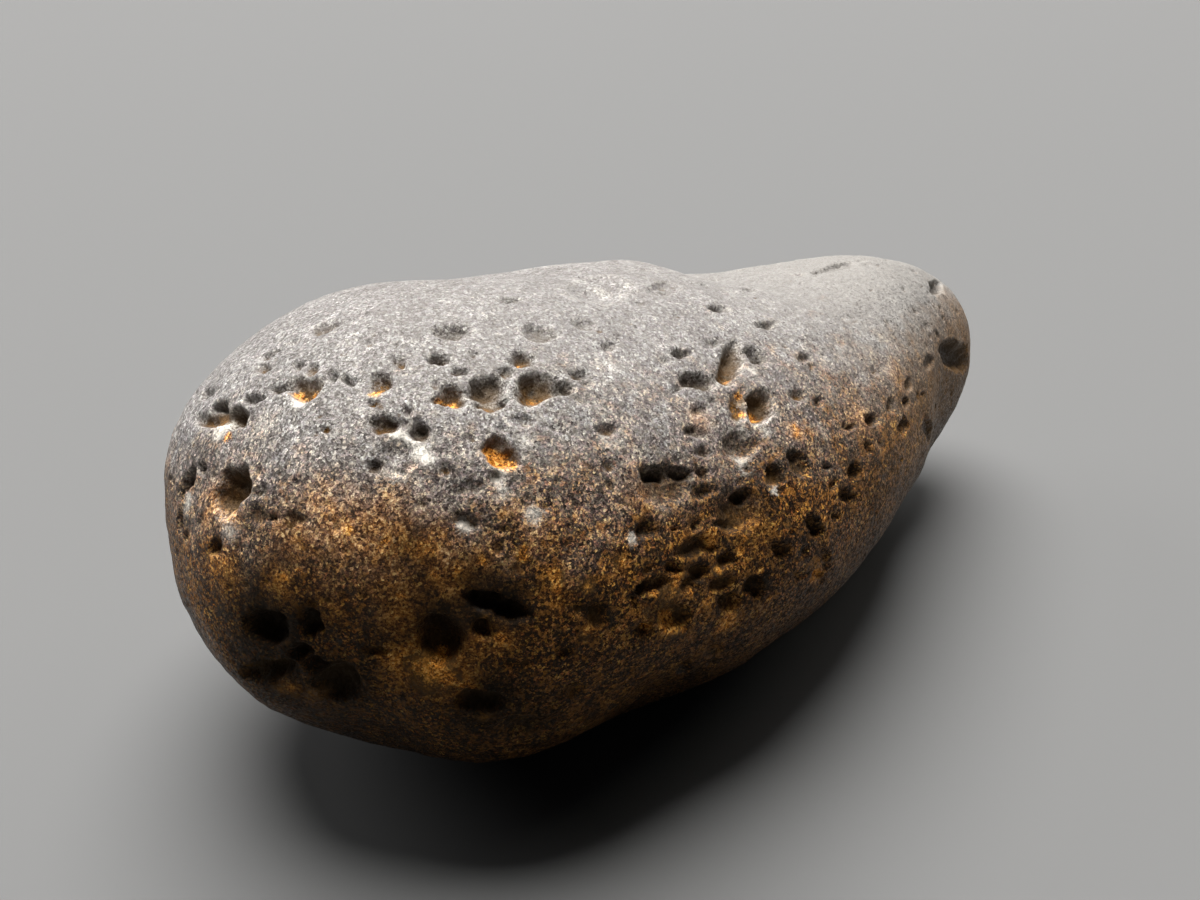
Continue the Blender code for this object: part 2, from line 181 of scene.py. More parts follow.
flankPits = [
    (666, 488, 28, 21, 0, 0.4, 0.3),
    (655, 475, 13, 8, -10, 0.4, 0.1),
    (683, 474, 10, 7, 0, 0.35, 0.1),
    (704, 474, 7, 6, -30, 0.3, 0.1),
    (704, 495, 13, 7, -5, 0.3, 0.1),
    (738, 512, 20, 22, 0, 0.4, 0.6),
    (743, 497, 9, 7, 0, 0.4, 0.1),
    (730, 525, 16, 8, 0, 0.5, 0.2),
    (694, 549, 20, 10, 15, 0.45, 0.4),
    (673, 570, 8, 6, 0, 0.5, 0.1),
    (659, 582, 9, 7, 20, 0.35, 0.2),
    (646, 588, 11, 7, 70, 0.6, 0.1),
    (634, 602, 8, 3, 80, 0.25, 0.1),
    (700, 575, 10, 8, 80, 0.5, 0.6),
    (726, 563, 8, 6, 0, 0.4, 0.8),
    (722, 586, 12, 6, 20, 0.4, 0.8),
    (688, 587, 9, 7, 0, 0.4, 0.4),
    (676, 618, 16, 13, -15, 0.65, 0.6),
    (645, 631, 9, 9, 0, 0.45, 0.4),
    (731, 605, 13, 8, 25, 0.5, 0.3),
    (755, 590, 10, 9, 30, 0.5, 0.1),
    (781, 551, 8, 8, 90, 0.45, 0.1),
    (776, 478, 10, 8, -80, 0.5, 0.6),
    (646, 532, 12, 9, 80, 0.4, 0.2),
    (673, 530, 4, 4, 0, 0.3, 0.1),
    (801, 466, 16, 8, -42, 0.45, 0.2),
    (830, 470, 4, 4, 0, 0.25, 0.1),
    (857, 475, 9, 6, 80, 0.4, 0.1),
    (850, 499, 8, 7, 0, 0.35, 0.1),
    (835, 488, 5, 5, 0, 0.3, 0.1),
    (814, 528, 10, 7, -70, 0.6, 0.1),
    (836, 519, 5, 5, 0, 0.3, 0.1),
    (825, 560, 9, 5, 90, 0.3, 0.2),
    (817, 575, 5, 5, 0, 0.3, 1),
    (797, 577, 6, 5, 45, 0.25, 0.1),
    (869, 450, 6, 3, 90, 0.3, 0.1),
    (596, 618, 11, 10, 0, 0.35, 0.5),
    (565, 655, 5, 5, 0, 0.25, 0.3),
    (497, 607, 38, 11, -15, 0.9, 0),
    (484, 632, 14, 9, -10, 0.7, 0.1),
    (440, 643, 27, 21, -60, 1.2, 0),
    (377, 653, 12, 6, -5, 0.25, 0.2),
    (482, 704, 25, 9, 0, 0.7, 0.1),
    (518, 728, 28, 9, 8, 0.35, 0.1),
    (573, 693, 8, 7, 0, 0.25, 0.2),
    (715, 653, 10, 6, 35, 0.25, 0.2),
    (684, 671, 10, 6, 60, 0.25, 0.1),
]
fatEndPits = [
    (207, 397, 7, 4, 30, 0.3, 0.1),
    (219, 409, 8, 5, 10, 0.75, 0.1),
    (235, 420, 12, 10, 70, 0.75, 0.6),
    (184, 483, 15, 4.5, 60, 0.6, 0),
    (201, 470, 7, 4, 75, 0.4, 0.1),
    (230, 495, 27, 15, 68, 0.95, 0.5),
    (177, 522, 14, 2.5, 85, 0.35, 0),
    (258, 493, 4, 4, 0, 0.3, 0.4),
    (260, 518, 11, 10, 0, 0.2, 0.3),
    (297, 519, 14, 9, -5, 0.2, 0.3),
    (214, 550, 10, 6, 75, 0.4, 0.2),
    (273, 521, 5, 4, 0, 0.25, 0.2),
    (269, 629, 19, 16, -40, 1, 0),
    (311, 627, 14, 12, 90, 0.7, 0),
    (303, 653, 10, 9, 90, 0.7, 0),
    (268, 672, 22, 10, -5, 0.9, 0.2),
    (340, 683, 23, 19, -20, 1.1, 0.1),
    (317, 667, 9, 8, 90, 0.8, 0),
    (214, 420, 22, 9, 15, 0.5, 0.9),
]
tailPits = [
    (870, 421, 7, 6, 90, 0.5, 0.1),
    (850, 427, 5, 4, 0, 0.25, 0.1),
    (891, 408, 7, 5, 90, 0.3, 0.2),
    (903, 428, 8, 7, 90, 0.4, 0.3),
    (908, 405, 6, 4, 90, 0.3, 0.4),
    (911, 388, 8, 4, 90, 0.25, 0.4),
    (931, 433, 12, 6, -80, 0.45, 0.4),
    (929, 364, 7, 7, 0, 0.25, 0.1),
    (840, 268, 15, 3, 0, 0.25, 0),
    (956, 358, 17, 8, -65, 0.75, 0.3),
    (939, 288, 7, 6, -60, 0.45, 0),
]

# the sides that the lists leave bare get scattered pits
scatter = {
    "seed": 41,
    "count": 95,
    "listedSide": Vector((-0.56, -0.64, 0.52)),   # where the lists' side looks
    "listedLimit": 0.05,     # how much a scattered pit may look there too
    "restClearance": 0.86,   # how squarely it may look down
    "length": (0.9, 2.9),
    "lengthShare": (0.6, 1.0),
    "widthShare": (0.5, 0.95),
    "depthShare": (0.35, 0.75),
    "shortest": 0.9,
    "narrowest": 0.8,
    "clayStep": 0.37,        # from one pit's share of clay to the next one's
}
# pinholes over the whole stone, pits' floors too
pinholes = {
    "seed": 7,
    "count": 900,
    "length": (0.3, 0.75),
    "lengthShare": (0.5, 1.0),
    "widthShare": (0.6, 1.0),
    "depthShare": (0.2, 0.5),
    "clay": (0, 0.7),
}
pitShape = {
    "largeLength": 1.5,      # shorter pits lie on top of longer ones
    "searchShare": 0.9,      # of a pit's length, and
    "searchMore": 0.2,       # this much more, is how far its points are looked for
    "reach": 1.18,           # where the wall has run out, as a share of the rim's radius
    "power": 3.0,            # steepness of the walls
    "softness": 1.6,         # how gently the wall bends over at the rim
    "warpSizes": (0.9, 0.35),    # raggedness of the outline
    "warps": (0.27, 0.13),
    "warpSeed": 5,           # without it noise_vector takes its seed from the clock
    "floorDepth": 0.5,       # where the floor's lumps are full
    "floorSize": 0.45,
    "floorRise": 0.22,
    "floorShift": 120,
    "lipRadius": 1.06,       # raised lip, in shares of the pit's radius
    "lipWidth": 0.13,
    "lipLimit": 0.9,         # pits deeper than this have no higher lip
    "lipRise": 0.06,
    "darkFrom": 0.12,        # a pit's depth as a share of its width, where the painted shade on its walls starts
    "darkRange": 0.2,        # and how much more makes that painted shade full
    "wallFrom": 0.08,        # the depth where the painted shade on the wall starts
    "wallRange": 0.55,
    "clayShift": 0.75,       # how far up the floor the clay reaches
    "clayRadius": 0.95,      # where it stops short of the rim
    "claySteepness": 2.6,    # and how sharply
    "clayStrength": 0.8,
}
# spots: how far they reach in shares of their radius, and how sharp their edges are
spotShape = {"reach": 2.5, "frostAndHighlight": 2, "clay": 4, "gold": 2, "sootAndShadow": 3, "crumbs": 2}

# across, down (pixels), radius, strength: pale frosting, and painted highlights on the lower lips of
# pits
frostAndHighlightSpots = [
    (369, 413, 0.22, 1),
    (396, 437, 0.3, 1),
    (404, 440, 0.28, 1),
    (412, 446, 0.3, 1),
    (420, 454, 0.34, 1),
    (428, 461, 0.4, 1),
    (398, 464, 0.12, 1),
    (396, 478, 0.7, 0.4),
    (380, 480, 0.5, 0.25),
    (500, 478, 0.35, 0.7),
    (505, 490, 0.4, 0.65),
    (503, 500, 0.4, 0.45),
    (535, 516, 0.55, 0.85),
    (525, 445, 0.6, 0.5),
    (767, 433, 0.5, 0.5),
    (610, 445, 0.6, 0.4),
    (612, 370, 0.7, 0.4),
    (265, 425, 0.9, 0.4),
    (753, 373, 0.35, 0.7),
    (742, 436, 0.4, 0.6),
    (742, 462, 0.8, 0.5),
    (775, 493, 0.25, 1),
    (632, 540, 0.25, 1),
    (635, 547, 0.2, 0.8),
    (220, 433, 0.6, 0.9),
    (300, 401, 0.5, 0.9),
    (463, 528, 0.4, 0.8),
    (232, 532, 0.7, 0.6),
    (186, 505, 0.5, 0.7),
    (603, 287, 0.8, 0.4),
]
# across, down (pixels), radius, strength: crumbs of clay
claySpots = [
    (366, 400, 0.15, 1),
    (376, 409, 0.15, 1),
    (322, 433, 0.15, 1),
    (300, 445, 0.12, 1),
    (422, 514, 0.2, 0.8),
    (524, 556, 0.41, 0.8),
    (556, 580, 0.47, 0.9),
    (587, 590, 0.34, 1),
    (585, 637, 0.27, 0.9),
    (615, 565, 0.27, 0.8),
    (646, 614, 0.27, 0.9),
    (707, 605, 0.34, 0.9),
    (718, 574, 0.41, 1),
    (712, 540, 0.34, 1),
    (745, 537, 0.27, 0.9),
    (684, 629, 0.34, 0.9),
    (671, 622, 0.27, 1),
    (675, 632, 0.41, 1),
    (735, 618, 0.34, 1),
    (728, 627, 0.27, 1),
    (670, 595, 0.68, 0.8),
    (817, 575, 0.41, 0.9),
    (787, 522, 0.27, 0.9),
    (824, 527, 0.27, 0.9),
    (285, 690, 0.54, 0.7),
    (320, 698, 0.54, 0.7),
    (432, 675, 1.22, 0.9),
    (415, 668, 0.68, 0.7),
    (450, 685, 0.68, 0.8),
    (485, 622, 0.27, 0.7),
    (485, 718, 0.41, 0.6),
]
# across, down (pixels), radius, strength: golden stains
goldStains = [
    (385, 535, 1.6, 0.49),
    (345, 530, 1.4, 0.6),
    (375, 562, 1.2, 0.35),
    (432, 550, 1.2, 0.49),
    (447, 577, 1, 0.42),
    (388, 592, 1.2, 0.35),
    (282, 582, 0.8, 0.42),
    (225, 570, 1, 0.35),
    (330, 510, 1.1, 0.45),
    (300, 542, 1.3, 0.4),
    (398, 620, 0.9, 0.4),
    (330, 602, 1, 0.24),
    (430, 668, 1.38, 1),
    (447, 680, 1, 1),
    (466, 690, 0.62, 1),
    (405, 665, 0.88, 1),
    (290, 688, 0.5, 0.7),
    (316, 698, 0.5, 0.5),
    (525, 557, 0.4, 0.63),
    (555, 580, 0.6, 0.56),
    (513, 515, 0.6, 0.21),
    (560, 600, 0.5, 0.4),
    (620, 565, 0.4, 0.6),
    (755, 530, 1.1, 0.25),
    (720, 578, 0.8, 0.3),
    (675, 590, 0.8, 0.5),
    (708, 606, 0.4, 0.9),
    (730, 622, 0.7, 0.9),
    (762, 612, 0.5, 0.5),
    (672, 625, 0.5, 1),
    (645, 612, 0.3, 0.7),
    (650, 630, 0.3, 0.6),
    (590, 632, 0.4, 0.6),
    (500, 640, 0.6, 0.5),
    (480, 648, 0.6, 0.4),
    (700, 655, 0.6, 0.35),
    (796, 432, 0.4, 0.8),
    (818, 575, 0.5, 0.9),
    (688, 540, 0.6, 0.5),
    (712, 545, 0.4, 0.7),
    (700, 420, 0.6, 0.3),
    (640, 500, 0.8, 0.3),
    (860, 420, 0.8, 0.3),
    (900, 380, 0.8, 0.25),
    (220, 500, 0.9, 0.6),
    (230, 520, 0.6, 0.6),
    (205, 520, 0.4, 0.4),
    (480, 560, 0.8, 0.24),
    (540, 540, 0.8, 0.21),
]
# across, down (pixels), radius, strength: orange crumbs
crumbSpots = [
    (497, 456, 0.45, 1),
    (507, 466, 0.4, 1),
    (452, 403, 0.3, 0.8),
    (440, 397, 0.22, 0.6),
    (377, 393, 0.3, 0.7),
    (762, 413, 0.4, 0.8),
    (296, 392, 0.4, 0.6),
    (310, 388, 0.3, 0.6),
    (228, 438, 0.3, 0.9),
    (220, 432, 0.3, 0.7),
    (735, 376, 0.3, 0.5),
    (740, 395, 0.25, 0.8),
    (745, 414, 0.25, 0.9),
    (522, 362, 0.2, 0.8),
    (540, 398, 0.5, 0.4),
    (712, 540, 0.45, 1),
    (745, 537, 0.2, 0.9),
    (718, 574, 0.22, 0.9),
    (708, 605, 0.35, 1),
    (700, 612, 0.25, 0.8),
    (672, 625, 0.5, 1),
    (668, 615, 0.2, 0.9),
    (684, 628, 0.2, 0.9),
    (730, 622, 0.5, 1),
    (722, 628, 0.3, 0.9),
    (817, 575, 0.5, 1),
    (812, 580, 0.25, 0.9),
    (824, 520, 0.25, 0.8),
    (797, 430, 0.25, 0.6),
    (650, 630, 0.25, 0.8),
    (655, 592, 0.3, 0.7),
    (675, 582, 0.4, 0.7),
    (690, 597, 0.3, 0.6),
    (760, 572, 0.3, 0.6),
    (740, 555, 0.3, 0.6),
    (770, 600, 0.3, 0.5),
    (525, 557, 0.35, 0.9),
    (553, 575, 0.3, 0.9),
    (558, 588, 0.3, 0.8),
    (545, 568, 0.2, 0.7),
    (432, 672, 0.5, 1),
    (447, 680, 0.5, 1),
    (460, 688, 0.3, 0.8),
    (415, 668, 0.3, 0.8),
    (440, 664, 0.3, 0.8),
    (290, 688, 0.25, 0.7),
    (315, 697, 0.2, 0.6),
    (590, 632, 0.25, 0.7),
    (620, 563, 0.25, 0.6),
    (500, 638, 0.3, 0.6),
    (385, 540, 0.3, 0.6),
    (350, 530, 0.3, 0.6),
    (430, 578, 0.25, 0.8),
    (455, 572, 0.3, 0.7),
    (480, 560, 0.25, 0.6),
    (300, 575, 0.2, 0.6),
    (283, 583, 0.25, 0.7),
    (225, 565, 0.25, 0.5),
    (400, 600, 0.25, 0.6),
    (345, 603, 0.2, 0.5),
]
# across, down (pixels), radius, strength: sooty stains, partly painted shadow on the shaded lower front
sootAndShadowStains = [
    (410, 553, 1.4, 0.85),
    (421, 536, 0.7, 0.6),
    (283, 571, 1.1, 0.6),
    (265, 626, 2.9, 1),
    (310, 622, 1.6, 0.9),
    (301, 655, 1.1, 0.8),
    (272, 674, 2.3, 0.9),
    (340, 680, 2.4, 0.95),
    (326, 662, 1.2, 0.7),
    (375, 655, 1.1, 0.8),
    (435, 636, 2.9, 1),
    (468, 640, 1.3, 0.6),
    (475, 600, 2.1, 1),
    (505, 608, 1.7, 1),
    (530, 614, 0.7, 0.7),
    (487, 703, 2.1, 1),
    (530, 722, 1.4, 0.8),
    (560, 700, 0.8, 0.5),
    (597, 612, 1, 0.7),
    (565, 652, 0.6, 0.5),
    (256, 520, 0.7, 0.6),
    (296, 519, 0.7, 0.6),
    (213, 549, 0.6, 0.6),
    (673, 480, 1.6, 0.5),
    (760, 508, 1.3, 0.6),
    (740, 520, 1, 0.4),
    (697, 562, 1, 0.6),
    (725, 545, 0.8, 0.5),
    (652, 585, 1, 0.7),
    (665, 614, 1, 0.8),
    (641, 633, 0.6, 0.7),
    (779, 552, 0.8, 0.6),
    (812, 529, 0.7, 0.6),
    (758, 590, 1, 0.8),
    (725, 600, 1, 0.6),
    (820, 550, 0.6, 0.4),
    (710, 650, 0.7, 0.4),
    (690, 665, 0.8, 0.4),
    (790, 462, 1, 0.5),
    (775, 478, 0.7, 0.5),
    (857, 472, 0.8, 0.5),
    (850, 502, 0.8, 0.5),
    (875, 500, 0.9, 0.4),
    (645, 490, 0.7, 0.4),
]


def fullness(values, x):
    # smooth curve through the values at the five stations
    return np.polyval(np.polyfit(stone["stations"], values, len(values) - 1), x)


def sidesAt(directions):
    # half width and half height of the pear on the side that each direction points to
    x, y, z = directions.T
    side = np.where(y < 0, fullness(stone["near"], x), fullness(stone["far"], x))
    height = np.where(z < 0, fullness(stone["down"], x), fullness(stone["up"], x))
    return side, height


def bodyPoints(directions):
    # the plain pear, long axis level
    x, y, z = directions.T
    side, height = sidesAt(directions)
    return np.stack([x * stone["bodyLength"] / 2, side * y, height * z], axis=1)


def outwardFrom(plain):
    return plain / np.linalg.norm(plain, axis=1, keepdims=True)


def directionAt(along, around):
    x = along / (stone["bodyLength"] / 2) - 1
    ring = math.sqrt(max(0.0, 1 - x * x))
    angle = math.radians(around)
    return Vector((x, -math.sin(angle) * ring, math.cos(angle) * ring))


def frameAt(direction):
    # point, outward normal and lengthwise tangent of the plain pear
    step = stone["tangentStep"]
    sideways = direction.cross(Vector((1, 0, 0))).normalized()
    lengthwise = sideways.cross(direction)
    close = [direction, direction + step * lengthwise, direction + step * sideways]
    here, ahead, beside = bodyPoints(np.array([d.normalized() for d in close]))
    tangent = Vector(ahead - here).normalized()
    normal = Vector(beside - here).cross(tangent).normalized()
    if normal.dot(direction) < 0:
        normal.negate()
    return Vector(here), normal, tangent


def swellRise(plain):
    rise = np.zeros(len(plain))
    for along, around, radius, height in swells:
        centre = np.array(frameAt(directionAt(along, around))[0])
        rise += height * np.exp(-((np.linalg.norm(plain - centre, axis=1) / radius) ** 2))
    return rise


def layingDown(points):
    # the lean towards the tail, and the move that puts the leaned points over the origin
    lean = np.array(Matrix.Rotation(math.radians(stone["tailDrop"]), 3, "Y"))
    leaned = points @ lean.T
    low, high = leaned.min(axis=0), leaned.max(axis=0)
    middle = (low + high) / 2
    return lean, np.array([middle[0], middle[1], low[2] + stone["restCut"]])


# how the places in the frame are found on the swelled pear
sight = {
    "across": 1200,          # pixels
    "down": 900,
    "alongStep": 0.1,        # millimetres between the places that are tried
    "aroundStep": 0.5,       # degrees
    "closePixels": 4.0,      # places within this of the one asked for are compared for distance
    "morePixels": 1.0,       # how much farther than the nearest place, if none is that close
    "frontLayer": 2.0,       # millimetres behind the frontmost place that still count as the front
    "smallStep": 0.1,        # millimetres, for how a length on the surface shows in the frame
}


def cameraAim():
    return Euler((math.radians(90 - studio["cameraDrop"]), 0, math.radians(studio["cameraTurn"])))


def inFrame(laid):
    # pixels across and down, and distance from the camera in millimetres
    fromCamera = (laid - np.array(studio["cameraPlace"]) / mm) @ np.array(cameraAim().to_matrix())
    focal = studio["lens"] / studio["film"] * sight["across"]
    distance = -fromCamera[:, 2]
    across = sight["across"] / 2 + focal * fromCamera[:, 0] / distance
    down = sight["down"] / 2 - focal * fromCamera[:, 1] / distance
    return np.stack([across, down], axis=1), distance


def makeSight():
    # two finders: the place on the stone that shows at a place in the frame, and the pit there
    along = np.arange(sight["alongStep"], stone["bodyLength"], sight["alongStep"])
    around = np.radians(np.arange(-180, 180, sight["aroundStep"]))
    grid = np.meshgrid(along / (stone["bodyLength"] / 2) - 1, around)
    x, angle = [values.ravel() for values in grid]
    ring = np.sqrt(1 - x * x)
    directions = np.stack([x, -np.sin(angle) * ring, np.cos(angle) * ring], axis=1)
    plain = bodyPoints(directions)
    points = plain + outwardFrom(plain) * swellRise(plain)[:, None]
    lean, move = layingDown(points)
    pixels, distance = inFrame(points @ lean.T - move)

    def placeSeen(across, down):
        off = np.hypot(pixels[:, 0] - across, pixels[:, 1] - down)
        close = off < max(sight["closePixels"], off.min() + sight["morePixels"])
        front = distance < distance[close].min() + sight["frontLayer"]
        return frameAt(Vector(directions[np.argmin(np.where(front, off, np.inf))]))

    def pitSeen(across, down, halfLength, halfWidth, slant, depth, clay):
        place = placeSeen(across, down)
        centre, normal, tangent = place
        step = sight["smallStep"]
        # pixels for a millimetre along and across the surface
        spots = np.array([centre, centre + step * tangent, centre + step * normal.cross(tangent)])
        here, ahead, beside = inFrame(spots @ lean.T - move)[0]
        stretch = np.stack([ahead - here, beside - here], axis=1) / step
        # the outline in the frame, carried back on to the surface
        cos, sin = math.cos(math.radians(slant)), math.sin(math.radians(slant))
        outline = np.array([[cos, -sin], [-sin, -cos]]) @ np.diag([halfLength, halfWidth])
        axes, halves, _ = np.linalg.svd(np.linalg.inv(stretch) @ outline)
        turn = math.degrees(math.atan2(axes[1, 0], axes[0, 0]))
        return place, 2 * halves[0], 2 * halves[1], depth, turn, clay

    return placeSeen, pitSeen


def listedPits(pitSeen):
    rows = crownPits + shoulderPits + flankPits + fatEndPits + tailPits
    return [pitSeen(*row) for row in rows]


def chancePit(rng, kind):
    # place, length, width, depth and turn of a pit drawn by chance
    direction = Vector([rng.gauss(0, 1) for _ in range(3)]).normalized()
    length = rng.uniform(*kind["length"]) * rng.uniform(*kind["lengthShare"])
    width = length * rng.uniform(*kind["widthShare"])
    depth = width * rng.uniform(*kind["depthShare"])
    return frameAt(direction), length, width, depth, rng.uniform(0, 180)


def scatteredPits():
    rng = random.Random(scatter["seed"])
    pits = []
    while len(pits) < scatter["count"]:
        place, length, width, depth, turn = chancePit(rng, scatter)
        bare = place[1].dot(scatter["listedSide"]) < scatter["listedLimit"]
        if bare and -place[1].z < scatter["restClearance"]:
            length, width = max(length, scatter["shortest"]), max(width, scatter["narrowest"])
            clay = (len(pits) * scatter["clayStep"]) % 1.0
            pits.append((place, length, width, depth, turn, clay))
    return pits


def scatteredPinholes():
    rng = random.Random(pinholes["seed"])
    pits = []
    for _ in range(pinholes["count"]):
        pits.append((*chancePit(rng, pinholes), rng.uniform(*pinholes["clay"])))
    return pits


def noiseAt(points, size):
    return np.array([noise.noise(Vector(p)) for p in points / size])


def noiseVectorAt(points, size):
    return np.array([noise.noise_vector(Vector(p)) for p in points / size])


def pitAxes(place, length, width, turn):
    # the two half axes of a pit's outline, scaled so that a point on the rim measures 1
    normal, tangent = place[1:]
    longAxis = Matrix.Rotation(math.radians(turn), 3, normal) @ tangent
    shortAxis = normal.cross(longAxis)
    return np.array(longAxis) / (length / 2), np.array(shortAxis) / (width / 2)


def pitRadius(points, place, length, width, turn):
    longAxis, shortAxis = pitAxes(place, length, width, turn)
    offset = points - np.array(place[0])
    return np.hypot(offset @ longAxis, offset @ shortAxis)


def unevenRise(plain):
    rise = stone["waveRise"] * noiseAt(plain, stone["waveSize"])
    rise += stone["rippleRise"] * noiseAt(plain + stone["rippleShift"], stone["rippleSize"])
    rise += stone["pimpleRise"] * noiseAt(plain + stone["pimpleShift"], stone["pimpleSize"])
    return rise


def shapedPoints(directions):
    # returns the stone's points and, for each one, the marks that the glass is coloured by
    plain = bodyPoints(directions)
    outward = outwardFrom(plain)
    tree = KDTree(len(plain))
    for number, point in enumerate(plain):
        tree.insert(point, number)
    tree.balance()

    def near(centre, radius):
        return np.array([number for _, number, _ in tree.find_range(centre, radius)], dtype=int)

    rise = unevenRise(plain)
    rise += swellRise(plain)
    placeSeen, pitSeen = makeSight()

    ragged = plain.copy()
    noise.seed_set(pitShape["warpSeed"])
    for size, strength in zip(pitShape["warpSizes"], pitShape["warps"]):
        ragged += strength * noiseVectorAt(plain, size)
    clay = np.zeros(len(plain))
    warm = np.zeros(len(plain))
    steepShade = np.zeros(len(plain))
    lip = np.zeros(len(plain))
    total = np.zeros(len(plain))
    sink = np.zeros_like(plain)
    pits = listedPits(pitSeen) + scatteredPits()
    large = [p for p in pits if p[1] >= pitShape["largeLength"]]
    small = [p for p in pits if p[1] < pitShape["largeLength"]]
    for layer, source in ((large, ragged), (small, ragged), (scatteredPinholes(), plain)):
        # within a layer the deeper pit wins; the layers add up
        deepest = np.zeros(len(plain))
        inward = np.zeros_like(plain)
        for place, length, width, depth, turn, clayShare in layer:
            reach = max(length, width) * pitShape["searchShare"] + pitShape["searchMore"]
            spots = near(place[0], reach)
            if not len(spots):
                continue
            radius = pitRadius(source[spots], place, length, width, turn)
            closeness = np.minimum(radius / pitShape["reach"], 1)
            drop = depth * (1 - closeness ** pitShape["power"]) ** pitShape["softness"]
            wins = drop > deepest[spots]
            won = spots[wins]
            deepest[won] = drop[wins]
            inward[won] = -np.array(place[1])
            warm[won] = clayShare
            # painted shade: the steeper the pit, the darker its walls
            steepness = (depth / width - pitShape["darkFrom"]) / pitShape["darkRange"]
            steepShade[won] = min(1.0, max(0.0, steepness))
            rim = depth * np.exp(-(((radius - pitShape["lipRadius"]) / pitShape["lipWidth"]) ** 2))
            lip[spots] = np.maximum(lip[spots], np.minimum(rim, pitShape["lipLimit"]))
            # clay gathers on the downhill side of the floor, which is also the side the light falls on,
            # so it is partly painted light
            normal = np.array(place[1])
            clayAndLitSide = stone["clayAndLitSide"] - normal * (normal @ stone["clayAndLitSide"])
            clayAndLitSide /= np.linalg.norm(clayAndLitSide) * (length + width) / 4
            side = (source[spots] - np.array(place[0])) @ clayAndLitSide
            edge = pitShape["claySteepness"] * (pitShape["clayRadius"] - radius)
            share = np.clip(side + pitShape["clayShift"], 0, 1) * np.clip(edge, 0, 1)
            clay[spots] = np.maximum(clay[spots], pitShape["clayStrength"] * clayShare * share)
        total += deepest
        sink += inward * deepest[:, None]
    inside = np.clip(total / pitShape["floorDepth"], 0, 1)
    rise += pitShape["lipRise"] * lip * (1 - inside)
    lumps = noiseAt(plain + pitShape["floorShift"], pitShape["floorSize"])
    rise += pitShape["floorRise"] * inside * lumps
    shaped = plain + outward * rise[:, None] + sink

    def spotted(rows, sharpness, covered=None):
        covered = np.zeros(len(plain)) if covered is None else covered
        for across, down, radius, strength in rows:
            centre = placeSeen(across, down)[0]
            spots = near(centre, radius * spotShape["reach"])
            if len(spots):
                spread = np.linalg.norm(ragged[spots] - np.array(centre), axis=1) / radius
                covered[spots] = np.maximum(covered[spots], strength * np.exp(-spread ** sharpness))
        return covered

    side, height = sidesAt(directions)
    x, y, z = directions.T
    facing = outwardFrom(np.stack([x * 2 / stone["bodyLength"], y / side, z / height], axis=1))
    ends, nearSide, farSide, top = stone["frostAndPaintedLight"]
    sides = np.where(facing[:, 1] < 0, nearSide, farSide)
    wall = (total - pitShape["wallFrom"]) / pitShape["wallRange"]
    marks = {
        "pitWallShade": np.clip(wall, 0, 1) * steepShade,
        "pitClayAndLight": spotted(claySpots, spotShape["clay"], clay),
        "pitWarmth": warm,
        "pitLip": lip,
        "frostAndHighlight": spotted(frostAndHighlightSpots, spotShape["frostAndHighlight"]),
        "gold": spotted(goldStains, spotShape["gold"]),
        "sootAndShadow": spotted(sootAndShadowStains, spotShape["sootAndShadow"]),
        "crumbs": spotted(crumbSpots, spotShape["crumbs"]),
        # pale frosting and painted sheen: the top and the ends paler where the light from behind
        # glances off them
        "frostAndSheen": ends * np.abs(facing[:, 0]) + sides * facing[:, 1] + top * facing[:, 2],
        "upward": facing[:, 2] / 2 + 0.5,
        "farSide": np.clip(facing[:, 1], 0, 1),
    }
    return shaped, marks


def laidDown(points):
    # leaned towards the tail, centred over the origin, worn flat at z = 0
    lean, move = layingDown(points)
    points = points @ lean.T - move
    points[:, 2] = np.maximum(points[:, 2], 0)
    return points


def makeStone():
    bm = bmesh.new()
    levels = stone["sphereLevels"] - 0
    bmesh.ops.create_icosphere(bm, subdivisions=levels, radius=1.0)
    bm.verts.index_update()
    directions = np.array([v.co.normalized() for v in bm.verts])
    points, marks = shapedPoints(directions)
    for vert, spot in zip(bm.verts, laidDown(points)):
        vert.co = Vector(spot) * mm
    bmesh.ops.recalc_face_normals(bm, faces=bm.faces)
    mesh = bpy.data.meshes.new("tektiteSurface")
    bm.to_mesh(mesh)
    bm.free()
    for name, values in marks.items():
        layer = mesh.attributes.new(name, "FLOAT", "POINT")
        layer.data.foreach_set("value", values.astype(np.float32))
    mesh.shade_smooth()
    piece = bpy.data.objects.new("tektiteSurface", mesh)
    bpy.context.scene.collection.objects.link(piece)
    thinning = piece.modifiers.new("thinning", "DECIMATE")
    thinning.ratio = min(1.0, stone["triangles"] / len(mesh.polygons))
    print("stone:", len(mesh.polygons), "triangles before thinning")
    return piece


